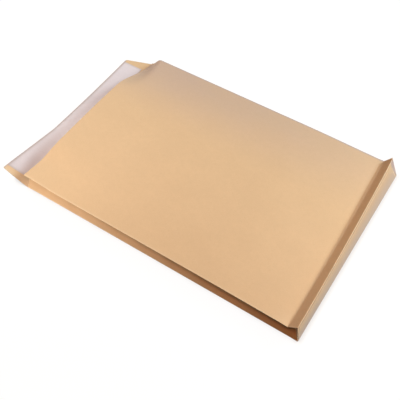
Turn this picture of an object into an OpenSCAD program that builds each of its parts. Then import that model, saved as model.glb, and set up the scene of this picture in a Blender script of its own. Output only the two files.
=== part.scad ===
// Gusseted paper pocket with a block bottom, lying on its address side with the flap open.
// One sheet of manila paper makes the back, both folded-in sides, the upper panel, the
// upright bottom and the flap. A band of adhesive and its release liner lie on the flap.
// +X runs from the flap to the bottom, +Y from the near side to the far side, +Z is up.
// The origin is under the middle of the whole outline.

/* [Pocket] */
// Length of the back panel, from the flap's fold line to the foot
pocket_l = 324; // [260:1:400]
// Width of the pocket
pocket_w = 229; // [180:1:300]
// Full width of a side gusset, and height of the block bottom
gusset_w = 25; // [20:1:36]
// Thickness of the manila paper
paper_t = 0.2; // [0.15:0.05:0.4]

/* [Gussets] */
// Angle at which each half of the near gusset stands open, in degrees
near_open = 45.7; // [30:1:55]
// The same angle at the mouth of the near gusset
near_open_mouth = 56; // [30:1:60]
// The same angle beside the block bottom
near_open_foot = 41.2; // [30:1:50]
// Angle at which each half of the far gusset stands open, in degrees
far_open = 34.1; // [25:1:50]
// The same angle beside the block bottom
far_open_foot = 29.5; // [25:1:50]
// Length over which the mouth of a gusset runs into its body
mouth_run = 45; // [25:5:100]
// Length over which a gusset runs into the block bottom
foot_run = 110; // [50:5:180]

/* [Upper panel] */
// Rise of the upper panel's mouth edge above its two side folds
mouth_swell = 5; // [0:0.2:8]
// Rise of the upper panel at the block bottom
foot_swell = 0.6; // [0:0.2:3]
// Place of the swell's crest across the mouth, as a share of the width
crest_mouth = 0.72; // [0.5:0.02:0.9]
// Place of the crest beside the bottom, as a share of the width
crest_foot = 0.95; // [0.6:0.01:0.97]
// Depth of the shallow hollow in the mouth edge beside the near corner
hollow_d = 3; // [0:0.2:5]
// Distance of that hollow from the near side
hollow_y = 28; // [20:1:50]
// Half width of that hollow
hollow_w = 18; // [10:1:30]
// Share of the height that is lost where the far mouth corner is pressed down
corner_drop = 0.88; // [0:0.02:0.9]
// Reach of the pressed corner along the far side
drop_l = 14.5; // [12:0.5:60]
// How much further it reaches into the panel away from the far side
drop_spread = 25; // [0:1:60]
// Reach of the pressed corner along the mouth
drop_w = 70; // [20:1:100]
// Distance by which the far side of the upper panel has slipped towards the mouth
slip = 5; // [0:0.5:6]

/* [Block bottom] */
// Bare height between the ridge and the edge of the glued-on bottom layer
lap_gap = 3; // [1:0.5:8]
// Distance from each side to the glued-on layer, at the foot
lap_inset = 1.2; // [0.5:0.1:4]
// How much further in the upper corners of that layer are cut
lap_taper = 4; // [0:0.5:12]
// Height of the corner node of the side folds, as a share of the opening there
node_rise = 0.65; // [0.5:0.05:0.75]
// Distance of that node from the foot, in halves of the gusset
node_back = 0.8; // [0.6:0.05:1]

/* [Flap] */
// Depth of the flap in the middle, from fold line to outer edge
flap_d = 31.2; // [30:0.5:60]
// Depth of the flap at its near end
flap_d_near = 34.2; // [30:0.5:60]
// Depth of the flap at its far end
flap_d_far = 32.9; // [30:0.5:60]
// How far the near side of the flap is cut in at the outer edge
taper_near = 0.4; // [0:0.2:15]
// How far the far side of the flap is cut in at the outer edge
taper_far = 11; // [0:0.5:15]
// Radius of the flap's near outer corner
corner_r_near = 1.2; // [1:0.2:4]
// Radius of the flap's far outer corner
corner_r_far = 2.5; // [1:0.5:4]
// Height to which the near corner of the flap has sprung up
corner_lift = 11.7; // [0:0.5:18]
// Length of the outer edge that has left the table, from the near side
lift_run = 80; // [50:2:140]

/* [Seal] */
// Width of the release liner
liner_w = 26; // [14:0.5:27]
// Thickness of the release liner
liner_t = 0.1; // [0.06:0.02:0.2]
// Bare margin between the liner and the flap's outer edge
liner_margin = 0.9; // [0.8:0.1:2.5]
// Bare length between the near corner's rounding and the liner
liner_end_near = 5; // [1:0.5:20]
// Bare length between the far corner's rounding and the liner
liner_end_far = 1.5; // [1:0.5:20]
// Thickness of the adhesive band under the liner
glue_t = 0.1; // [0.06:0.02:0.2]
// How far the liner overhangs the adhesive along its long edges
glue_margin = 3; // [1:0.5:5]
// How far the liner overhangs the adhesive at its ends
glue_end = 2.5; // [1:0.5:8]

/* [Hidden] */

half_w = pocket_w / 2;
// Half of the gusset: the width of each folded half, and of the strip above the valley crease
half_g = gusset_w / 2;
// Curves of the sprung flap and of the lift along its edge
lift_curve = 1.4;
lift_fade = 1.1;
// Curves of the swell's fading along the pocket, of its fall from the crest to the far side, and
// of the slip along the panel's end
swell_fade = 0.8;
fall_curve = 1.4;
slip_curve = 2;
// Closer stations near the mouth, where the forms are tight
station_grade = 1.7;
// Facets along the pocket, across it, and along the flap's edge
run_n = 28;
across_n = 26;
edge_n = 22;

function ease(t) = let (c = min(max(t, 0), 1)) c * c * (3 - 2 * c);
function unit(a) = a / norm(a);
// Step from an outer corner to the inner one, so that both walls have the paper's thickness
function mitre(a, b) = -paper_t * (a + b) / (1 + a * b);

// Gussets and upper panel. u runs from 0 on the near side to 1 on the far side.
function opening(body, mouth, foot, x) =
    body + (mouth - body) * (1 - ease(x / mouth_run))
    + (foot - body) * ease((x - pocket_l + foot_run) / foot_run);
function near_h(x) = gusset_w * sin(opening(near_open, near_open_mouth, near_open_foot, x));
function far_h(x) = gusset_w * sin(opening(far_open, far_open, far_open_foot, x));
function swell(x, u) =
    let (v = x / pocket_l, c = crest_mouth + (crest_foot - crest_mouth) * v)
    (foot_swell + (mouth_swell - foot_swell) * pow(1 - v, swell_fade))
    * (u < c ? sin(90 * u / c) : 1 - pow((u - c) / (1 - c), fall_curve));
function hollow(x, u) =
    hollow_d * (1 - ease(x / mouth_run)) * ease(4 * u * pocket_w / hollow_y)
    * exp(-pow((u * pocket_w - hollow_y) / hollow_w, 2));
function pressed(x, u) =
    let (beside = (1 - u) * pocket_w / drop_w)
    corner_drop * (1 - ease(norm([x / (drop_l + drop_spread * beside), beside])));
function panel_z(x, u) =
    ((1 - u) * near_h(x) + u * far_h(x) + swell(x, u) - hollow(x, u)) * (1 - pressed(x, u));
function panel_x(v, u) = v * (pocket_l - half_g - slip * pow(u, slip_curve));
function panel_point(v, u) =
    let (x = panel_x(v, u)) [x, pocket_w * u - half_w, panel_z(x, u)];

// Section of one side at station v: [x of the crease, its depth, its height, opening height]
function crease(v, u) =
    let (x = v * (pocket_l - node_back * half_g - slip * u / 2),
         h = panel_z(panel_x(v, u), u),
         share = 0.5 + (node_rise - 0.5) * ease((x - pocket_l + foot_run) / foot_run))
    [x, sqrt(half_g * half_g - h * h / 4), h * share, h];
// Outward directions of the upper and the lower half of a side, for side = -1 near, 1 far
function upper_way(c, side) = unit([0, side * (c[3] - c[2]), -c[1]]);
function lower_way(c, side) = unit([0, side * c[2], c[1]]);

// Block bottom. The ridge stands half a gusset from the valley crease and a whole one from the
// foot, which sets its place.
function ridge_point(u) =
    let (f = panel_point(1, u),
         dx = pocket_l - f[0],
         d = norm([dx, f[2]]),
         a = (half_g * half_g - gusset_w * gusset_w + d * d) / (2 * d),
         h = sqrt(half_g * half_g - a * a))
    [f[0] + (a * dx + h * f[2]) / d, f[1], f[2] + (h * dx - a * f[2]) / d];
function strip_way(u) =
    let (s = ridge_point(u) - panel_point(1, u)) unit([-s[2], 0, s[0]]);
function bottom_way(u) =
    let (r = ridge_point(u)) unit([r[2], 0, pocket_l - r[0]]);
// Point on the bottom, down from the ridge by the share q, between the ends of the glued layer
function lap_point(u, q) =
    let (r = ridge_point(u),
         inset = lap_inset + lap_taper * (1 - q))
    [r[0] + (pocket_l - r[0]) * q, (half_w - inset) * (2 * u - 1), r[2] * (1 - q)];
lap_top = lap_gap / gusset_w;

// Flap. y is the place across, p the distance from the fold line along the paper. Its outer
// edge is a parabola through the three depths.
function depth(y) =
    let (s = y / half_w)
    flap_d + (flap_d_far - flap_d_near) / 2 * s + ((flap_d_near + flap_d_far) / 2 - flap_d) * s * s;
function lift(y) = corner_lift * pow(max(0, (lift_run - half_w - y) / lift_run), lift_fade);
function flap_point(y, p) =
    let (d = depth(y), z = lift(y))
    [-p * sqrt(1 - pow(z / d, 2)), y, z * pow(p / d, lift_curve)];
liner_y = [taper_near + corner_r_near + liner_end_near - half_w,
    half_w - taper_far - corner_r_far - liner_end_far];
glue_y = [liner_y[0] + glue_end, liner_y[1] - glue_end];
// Places across the flap: its sides, the ends of liner and adhesive, and even steps between
flap_ys = concat([-half_w, liner_y[0]],
    [for (j = [0:edge_n]) glue_y[0] + (glue_y[1] - glue_y[0]) * j / edge_n],
    [liner_y[1], half_w]);
flap_n = len(flap_ys) - 1;
// Places from fold line to outer edge: both edges of liner and adhesive, two steps between, and
// two steps round the outer corners
function flap_ps(y) =
    let (d = depth(y), out = d - liner_margin, in = out - liner_w,
         glue_in = in + glue_margin, glue_out = out - glue_margin)
    [0, in, glue_in, glue_in + (glue_out - glue_in) / 3, glue_out - (glue_out - glue_in) / 3,
     glue_out, out, d - liner_margin / 2, d - liner_margin / 5, d];
deep_n = 9;
liner_rows = [1, 6];
glue_rows = [2, 5];
// How far the flap's side is cut in at p, by its taper and by the rounded corner
function cut_in(p, d, taper, r) =
    taper * p / d + r - sqrt(pow(r, 2) - pow(max(0, p - d + r), 2));
function flap_y(k, j) =
    let (d = depth(flap_ys[j]), p = flap_ps(flap_ys[j])[k])
    j == 0 ? cut_in(p, d, taper_near, corner_r_near) - half_w
    : j == flap_n ? half_w - cut_in(p, d, taper_far, corner_r_far) : flap_ys[j];
function flap_vertex(k, j) =
    let (y = flap_y(k, j)) flap_point(y, flap_ps(y)[k]);

// The whole outline in X, which puts the origin under its middle
flap_reach = -min([for (j = [0:flap_n]) flap_vertex(deep_n, j)[0]]);
middle_x = (pocket_l + paper_t - flap_reach) / 2;

// Stations along the pocket and places across it
function station(i) = pow(i / run_n, station_grade);
function across(j) = j / across_n;

// Outer corners of the sheet, block by block
panel_pts = [for (i = [0:run_n]) for (j = [0:across_n]) panel_point(station(i), across(j))];
near_creases = [for (i = [0:run_n]) crease(station(i), 0)];
far_creases = [for (i = [0:run_n]) crease(station(i), 1)];
near_mid_pts = [for (c = near_creases) [c[0], c[1] - half_w, c[2]]];
far_mid_pts = [for (c = far_creases) [c[0], half_w - c[1], c[2]]];
near_foot_pts = [for (i = [0:run_n]) [station(i) * pocket_l, -half_w, 0]];
far_foot_pts = [for (i = [0:run_n]) [station(i) * pocket_l, half_w, 0]];
ridge_pts = [for (j = [0:across_n]) ridge_point(across(j))];
base_pts = [for (j = [0:across_n])
    [pocket_l + paper_t, (half_w - lap_inset) * (2 * across(j) - 1), 0]];
fold_pts = [for (j = [1:flap_n - 1]) flap_vertex(0, j)];
flap_pts = [for (k = [1:deep_n]) for (j = [0:flap_n]) flap_vertex(k, j)];
back_middle_pts = [[pocket_l / 2, 0, 0]];
outer_pts = concat(panel_pts, near_mid_pts, far_mid_pts, near_foot_pts, far_foot_pts,
    ridge_pts, base_pts, fold_pts, flap_pts, back_middle_pts);

// Steps from outer corners to inner ones, in the same blocks
up = [0, 0, 1];
near_top_in = [for (c = near_creases) mitre(up, upper_way(c, -1))];
far_top_in = [for (c = far_creases) mitre(up, upper_way(c, 1))];
near_low_in = [for (c = near_creases) mitre(-up, lower_way(c, -1))];
far_low_in = [for (c = far_creases) mitre(-up, lower_way(c, 1))];
function valley_in(j) = mitre(up, strip_way(across(j)));
function ridge_in(j) = mitre(strip_way(across(j)), bottom_way(across(j)));
function panel_in(i, j) =
    [i == run_n ? valley_in(j)[0] : 0,
     j == 0 ? near_top_in[i][1] : j == across_n ? far_top_in[i][1] : 0,
     -paper_t];
function end_in(j) =
    j == 0 ? near_top_in[run_n][1] : j == across_n ? far_top_in[run_n][1] : 0;
panel_ins = [for (i = [0:run_n]) for (j = [0:across_n]) panel_in(i, j)];
near_mid_ins = [for (c = near_creases) mitre(upper_way(c, -1), lower_way(c, -1))];
far_mid_ins = [for (c = far_creases) mitre(upper_way(c, 1), lower_way(c, 1))];
near_foot_ins = [for (i = [0:run_n]) [i == run_n ? -paper_t : 0, near_low_in[i][1], paper_t]];
far_foot_ins = [for (i = [0:run_n]) [i == run_n ? -paper_t : 0, far_low_in[i][1], paper_t]];
ridge_ins = [for (j = [0:across_n]) [ridge_in(j)[0], end_in(j), ridge_in(j)[2]]];
base_ins = [for (j = [0:across_n]) [-2 * paper_t, 0, paper_t]];
flap_ins = [for (p = concat(fold_pts, flap_pts)) [0, 0, paper_t]];
inner_ins = concat(panel_ins, near_mid_ins, far_mid_ins, near_foot_ins, far_foot_ins,
    ridge_ins, base_ins, flap_ins, [[0, 0, paper_t]]);
inner_pts = [for (i = [0:len(outer_pts) - 1]) outer_pts[i] + inner_ins[i]];

// Corners of the glued-on bottom layer, which only the outside has
lap_base_pts = [for (j = [0:across_n]) lap_point(across(j), lap_top)];
lap_edge_pts = [for (j = [0:across_n]) lap_point(across(j), lap_top) + paper_t * bottom_way(across(j))];
lap_end_pts = [[pocket_l, lap_inset - half_w, 0], [pocket_l, half_w - lap_inset, 0]];

// Where each block starts in the list of corners
count = len(outer_pts);
near_mid_at = len(panel_pts);
far_mid_at = near_mid_at + run_n + 1;
near_foot_at = far_mid_at + run_n + 1;
far_foot_at = near_foot_at + run_n + 1;
ridge_at = far_foot_at + run_n + 1;
base_at = ridge_at + across_n + 1;
fold_at = base_at + across_n + 1;
flap_at = fold_at + flap_n - 1;
back_middle_at = count - 1;
lap_base_at = 2 * count;
lap_edge_at = lap_base_at + across_n + 1;
lap_end_at = lap_edge_at + across_n + 1;
function panel_i(i, j) = i * (across_n + 1) + j;
function flap_i(k, j) =
    k > 0 ? flap_at + (k - 1) * (flap_n + 1) + j
    : j == 0 ? near_foot_at : j == flap_n ? far_foot_at : fold_at + j - 1;

// Faces are listed anticlockwise as seen from outside, and turned round at the end
function quad(a, b, c, d) = [[a, b, c], [a, c, d]];
function join(lists) = [for (list = lists) each list];
side_faces = join([for (i = [0:run_n - 1]) join([
    quad(panel_i(i, 0), near_mid_at + i, near_mid_at + i + 1, panel_i(i + 1, 0)),
    quad(near_mid_at + i, near_foot_at + i, near_foot_at + i + 1, near_mid_at + i + 1),
    quad(panel_i(i, across_n), panel_i(i + 1, across_n), far_mid_at + i + 1, far_mid_at + i),
    quad(far_mid_at + i, far_mid_at + i + 1, far_foot_at + i + 1, far_foot_at + i)])]);
panel_faces = join([for (i = [0:run_n - 1]) for (j = [0:across_n - 1])
    quad(panel_i(i, j), panel_i(i + 1, j), panel_i(i + 1, j + 1), panel_i(i, j + 1))]);
strip_faces = join([for (j = [0:across_n - 1])
    quad(panel_i(run_n, j), ridge_at + j, ridge_at + j + 1, panel_i(run_n, j + 1))]);
corner_faces = [
    [panel_i(run_n, 0), near_mid_at + run_n, ridge_at],
    [near_mid_at + run_n, near_foot_at + run_n, ridge_at],
    [ridge_at + across_n, far_mid_at + run_n, panel_i(run_n, across_n)],
    [ridge_at + across_n, far_foot_at + run_n, far_mid_at + run_n]];
flap_faces = join([for (k = [0:deep_n - 1]) for (j = [0:flap_n - 1])
    quad(flap_i(k, j), flap_i(k + 1, j), flap_i(k + 1, j + 1), flap_i(k, j + 1))]);
shared_faces = concat(side_faces, panel_faces, strip_faces, corner_faces, flap_faces);

// The flat back, fanned from its middle
function fan(loop) =
    [for (n = [0:len(loop) - 1]) [back_middle_at, loop[n], loop[(n + 1) % len(loop)]]];
back_start = concat([for (j = [0:flap_n]) flap_i(0, j)], [for (i = [1:run_n]) far_foot_at + i]);
back_end = [for (i = [run_n:-1:1]) near_foot_at + i];
base_row = [for (j = [across_n:-1:0]) base_at + j];
outer_back = fan(concat(back_start, [lap_end_at + 1], base_row, [lap_end_at], back_end));
inner_back = fan(concat(back_start, base_row, back_end));

// Outside of the block bottom, with the step of the glued-on layer
outer_bottom = concat(
    join([for (j = [0:across_n - 1]) join([
        quad(ridge_at + j, lap_base_at + j, lap_base_at + j + 1, ridge_at + j + 1),
        quad(lap_base_at + j, lap_edge_at + j, lap_edge_at + j + 1, lap_base_at + j + 1),
        quad(lap_edge_at + j, base_at + j, base_at + j + 1, lap_edge_at + j + 1)])]),
    quad(ridge_at, near_foot_at + run_n, lap_end_at, lap_base_at),
    quad(lap_base_at, lap_end_at, base_at, lap_edge_at),
    quad(ridge_at + across_n, lap_base_at + across_n, lap_end_at + 1, far_foot_at + run_n),
    quad(lap_edge_at + across_n, base_at + across_n, lap_end_at + 1, lap_base_at + across_n));
inner_bottom = concat(
    join([for (j = [0:across_n - 1])
        quad(ridge_at + j, base_at + j, base_at + j + 1, ridge_at + j + 1)]),
    [[ridge_at, near_foot_at + run_n, base_at],
     [ridge_at + across_n, base_at + across_n, far_foot_at + run_n]]);

// Cut edge of the paper: the mouth, then round the flap
rim = concat([for (j = [across_n:-1:0]) panel_i(0, j)], [near_mid_at],
    [for (k = [0:deep_n]) flap_i(k, 0)], [for (j = [1:flap_n]) flap_i(deep_n, j)],
    [for (k = [deep_n - 1:-1:0]) flap_i(k, flap_n)], [far_mid_at]);
rim_faces = join([for (n = [0:len(rim) - 1])
    let (a = rim[n], b = rim[(n + 1) % len(rim)]) quad(b, a, a + count, b + count)]);

function turned(face) = [for (n = [len(face) - 1:-1:0]) face[n]];
function inside(faces) = [for (face = faces) turned([for (n = face) n + count])];

module folded_pocket() {
    color("#E4BE91")
    translate([-middle_x, 0, 0])
    polyhedron(
        points = concat(outer_pts, inner_pts, lap_base_pts, lap_edge_pts, lap_end_pts),
        faces = [for (face = concat(shared_faces, outer_back, outer_bottom, rim_faces,
            inside(shared_faces), inside(inner_back), inside(inner_bottom))) turned(face)]);
}

// A layer on the flap's inner face: its first and last row of the flap, and how many of the
// flap's columns are left bare at each end
module flap_layer(span, bare, bottom, thickness) {
    rows = span[1] - span[0];
    cols = flap_n - 2 * bare;
    n = (rows + 1) * (cols + 1);
    low = [for (k = [span[0]:span[1]]) for (j = [bare:flap_n - bare])
        flap_vertex(k, j) + [0, 0, bottom]];
    high = [for (p = low) p + [0, 0, thickness]];
    function at(k, j) = k * (cols + 1) + j;
    edge = concat([for (k = [0:rows]) at(k, 0)], [for (j = [1:cols]) at(rows, j)],
        [for (k = [rows - 1:-1:0]) at(k, cols)], [for (j = [cols - 1:-1:1]) at(0, j)]);
    under = join([for (k = [0:rows - 1]) for (j = [0:cols - 1])
        quad(at(k, j), at(k + 1, j), at(k + 1, j + 1), at(k, j + 1))]);
    over = [for (face = under) turned([for (i = face) i + n])];
    walls = join([for (i = [0:len(edge) - 1])
        let (a = edge[i], b = edge[(i + 1) % len(edge)]) quad(b, a, a + n, b + n)]);
    translate([-middle_x, 0, 0])
    polyhedron(points = concat(low, high),
        faces = [for (face = concat(under, over, walls)) turned(face)]);
}

module adhesive_band() {
    color("#EFE6CF")
    flap_layer(glue_rows, 2, paper_t, glue_t);
}

module release_liner() {
    color("#DCCFD2")
    flap_layer(liner_rows, 1, paper_t + glue_t, liner_t);
}

folded_pocket();
adhesive_band();
release_liner();
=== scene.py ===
"""Manila gusset pocket with a block bottom and a peel-and-seal flap, lying open on a pale floor."""

from math import radians

import bmesh
import bpy
import numpy as np
from bpy.props import FloatProperty, FloatVectorProperty, PointerProperty
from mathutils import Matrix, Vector


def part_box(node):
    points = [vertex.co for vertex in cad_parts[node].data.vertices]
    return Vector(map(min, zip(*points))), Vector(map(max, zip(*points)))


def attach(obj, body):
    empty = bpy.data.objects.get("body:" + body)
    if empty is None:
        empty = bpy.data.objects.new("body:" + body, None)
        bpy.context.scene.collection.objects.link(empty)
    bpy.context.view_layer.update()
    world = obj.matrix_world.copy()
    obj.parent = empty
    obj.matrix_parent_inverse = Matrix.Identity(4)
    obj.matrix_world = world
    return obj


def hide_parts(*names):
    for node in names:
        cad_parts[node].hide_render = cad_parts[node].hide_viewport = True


bl_info = {
    "name": "Gusset Pocket",
    "version": (1, 0, 0),
    "blender": (4, 5, 0),
    "location": "3D View > Sidebar > Pocket",
    "description": "Builds a manila gusset pocket with a block bottom and a self-seal flap",
    "category": "Add Mesh",
}

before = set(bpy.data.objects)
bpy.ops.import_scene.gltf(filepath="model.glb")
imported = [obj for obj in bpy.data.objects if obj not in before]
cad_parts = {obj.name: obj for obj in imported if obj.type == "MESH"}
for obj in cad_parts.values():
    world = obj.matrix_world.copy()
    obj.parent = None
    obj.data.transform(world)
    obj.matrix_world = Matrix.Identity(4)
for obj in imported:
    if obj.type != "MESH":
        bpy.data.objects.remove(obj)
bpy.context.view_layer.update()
box_low, box_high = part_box("folded_pocket")

# Curves of the sprung flap, of the lift along its edge, of the panel's swell along the pocket, of
# its fall from the crest to the far side and of its slip
LIFT_CURVE = 1.4
LIFT_FADE = 1.1
SWELL_FADE = 0.8
FALL_CURVE = 1.4
SLIP_CURVE = 2
# The hollow in the mouth edge begins over one part in this many of its distance from the side
HOLLOW_START = 4
# Slow sines of the sheet's unevenness: size, radians a metre along and across, and start
WAVES = ((1, 61, 23, 0), (0.8, -38, 74, 1.3), (0.6, 113, -52, 2.1), (0.45, 87, 141, 0.4),
         (0.3, -190, 128, 4.0))
# The gussets' unevenness: how much larger it is, how much closer along, and where it is read
BULGE = 3
BULGE_CLOSER = 1.7
BULGE_SHIFT = 0.03
# The glued layer's loose edge: mean and swing of its wave, radians a metre and start
LAP_WAVE = (0.55, 0.45, 70, 1)

# Lengths over which the bottom's folds, the side folds and the gussets' creases run out to sharp
# corners, and over which the unevenness dies away beside the sides and beside the bottom
BOTTOM_FOLD_RUN = 0.008
SIDE_FOLD_RUN = 0.009
CREASE_RUN = 0.01
STILL_SIDE = 0.02
STILL_FOOT = 0.03

# Segments of a rounded fold, of the strip and of a gusset's upper half, of its lower half and of
# the bottom, and rows and columns of the films on the flap
BEND_N = 6
HALF_N = 10
LOWER_N = 36
FILM_ROWS = 15
FILM_COLUMNS = 72
# Rows close to a border of the sheet
CLOSE_ROWS = (0, 0.0004, 0.0009, 0.0016, 0.0026, 0.004, 0.006, 0.0085)
# Corners closer than this are one corner
WELD = 4e-8
# Folds and edges turn sharper than this
CREASE_ANGLE = radians(34)

# What each corner of a sheet carries for its material: rubbed fold with painted highlight,
# painted grey shade, and painted shade in the gussets and beside the glued layer
MARKS = ("wear_and_highlight", "painted_grey", "painted_shade")
# Marks that fall off as bell curves: how strong each is and how wide, in metres, and for the
# bottom's line as a share of its height
SPOTS = {
    "valley": (0.4, 0.0012),
    "ridge": (1.0, 0.0010),
    "foot": (0.7, 0.0009),
    "fold_line": (0.6, 0.0008),
    "side": (1.0, 0.0013),
    "foot_corner": (0.4, 0.013),
    "flap_end": (0.8, 0.008),
    "far_edge": (1.0, 0.0018),
    "flap_rim": (0.95, 0.0012),
    "bottom_line": (0.3, 0.035),
    "gusset_side": (1.0, 0.0011),
    "gusset_crease": (0.6, 0.0008),
    "gusset_foot": (0.8, 0.0011),
    "lap_shade": (0.8, 0.0005),
    "lap_rim": (0.9, 0.0007),
    "liner_rim": (0.7, 0.0024),
}
# Place of the bottom's painted shadow line and of the glued layer's rubbed rim with painted
# highlight
BOTTOM_LINE = 0.08
LAP_RIM = 0.0013
# Wear and painted highlight of the folds along the near and the far side, and how much faster
# it ends inside a gusset
NEAR_WEAR_AND_HIGHLIGHT = 0.9
FAR_WEAR_AND_HIGHLIGHT = 0.25
INNER_SIDE = 2.5
# Painted grey shade on the panel: at the foot, more at the mouth, its curve, and where across it
# begins and how soon it is full; and the painted grey shade on the far edge of a gusset
GREY_FOOT = 0.10
GREY_MOUTH = 0.30
GREY_FADE = 0.7
GREY_FROM = 0.58
GREY_RUN = 0.38
GREY_GUSSET = 0.85
# Painted grey shade on the bottom: at the foot, in the far corner beside the glued layer, that
# corner's soft border, and on the glued layer at the foot
GREY_BARE = 0.35
GREY_CORNER = 0.75
GREY_BORDER = 0.0012
GREY_LAP = 0.5
# Painted shade in the gussets: at the mouth, fading by a power, and at the foot, growing by a power
SHADE_MOUTH = 0.16
SHADE_MOUTH_FADE = 4
SHADE_FOOT = 0.65
SHADE_FOOT_GROWTH = 1.2
# What they lose beside the bottom, from which share of the length and over which
SHADE_LOST = 0.45
SHADE_LOST_FROM = 0.7
SHADE_LOST_RUN = 0.25
# Where their painted shade begins below the side fold and ends above the table
SHADE_EDGE = 0.001
SHADE_ABOVE = 0.0035
SHADE_ABOVE_RUN = 0.005
# Painted shade on the strip, near and how much more far; on the bottom and its glued layer below
# the ridge, and the part of it left at the near end; and on the corner folds
SHADE_STRIP = 0.03
SHADE_STRIP_FAR = 0.3
SHADE_BOTTOM = 0.1
SHADE_BOTTOM_NEAR = 0.6
SHADE_LAP = 0.22
SHADE_LAP_NEAR = 0.4
SHADE_WEB = 0.2
# Place of the corner folds on the flat sheet, clear of the rest
WEB_PLACE = (0.5, 0)

# Noises of the paper, liner and adhesive: cells to a metre along and across, and detail
CLOUDS = (22, 30, 2.0)
FORMATION = (150, 190, 3.0)
FIBRES = (420, 2600, 4.0)
FLECKS = (900, 2300, 1.0)
LINER_CLOUDS = (40, 60, 2.0)
LINER_FORMATION = (260, 420, 3.0)
STREAKS = (1200, 60, 2.0)
# Roughness of a noise's finer parts, for most and for the fibres, and the range that most of a
# noise lies in
SOFT_NOISE = 0.55
SHARP_NOISE = 0.7
MIDDLE = (0.3, 0.7)
# Numbers of a mix node's two colours and of its result
FIRST_COLOUR, SECOND_COLOUR, MIXED_COLOUR = 6, 7, 2

# White of the floor for the camera, how far its shadow reaches beside what stands on it, its
# colour there, and light from all round
FLOOR_GLOW = 0.97
SHADOW_REACH = 0.006
SHADOW_TINT = (0.50, 0.47, 0.43)
SKY = 0.02
# Half the floor's width and how far it lies below the pocket
FLOOR_HALF = 4.0
FLOOR_DROP = 0.0001
# Camera: focal length and sensor in millimetres, nearest distance, place seen from the middle of
# the flap's fold line, azimuth and elevation
LENS = 57.67
SENSOR = 36.0
NEAREST = 0.01
EYE = (0.38003, -0.36360, 0.54335)
EYE_AZIMUTH = radians(32.908)
EYE_ELEVATION = radians(53.736)


def length(name, description, default):
    return FloatProperty(
        name=name, description=description, default=default, min=0.0, precision=4, unit="LENGTH")


def angle(name, description, degrees):
    return FloatProperty(
        name=name, description=description, default=radians(degrees), subtype="ANGLE")


def share(name, description, default):
    return FloatProperty(name=name, description=description, default=default, subtype="FACTOR")


def tint(name, description, default):
    return FloatVectorProperty(
        name=name, description=description, default=default, size=3, subtype="COLOR")


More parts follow.
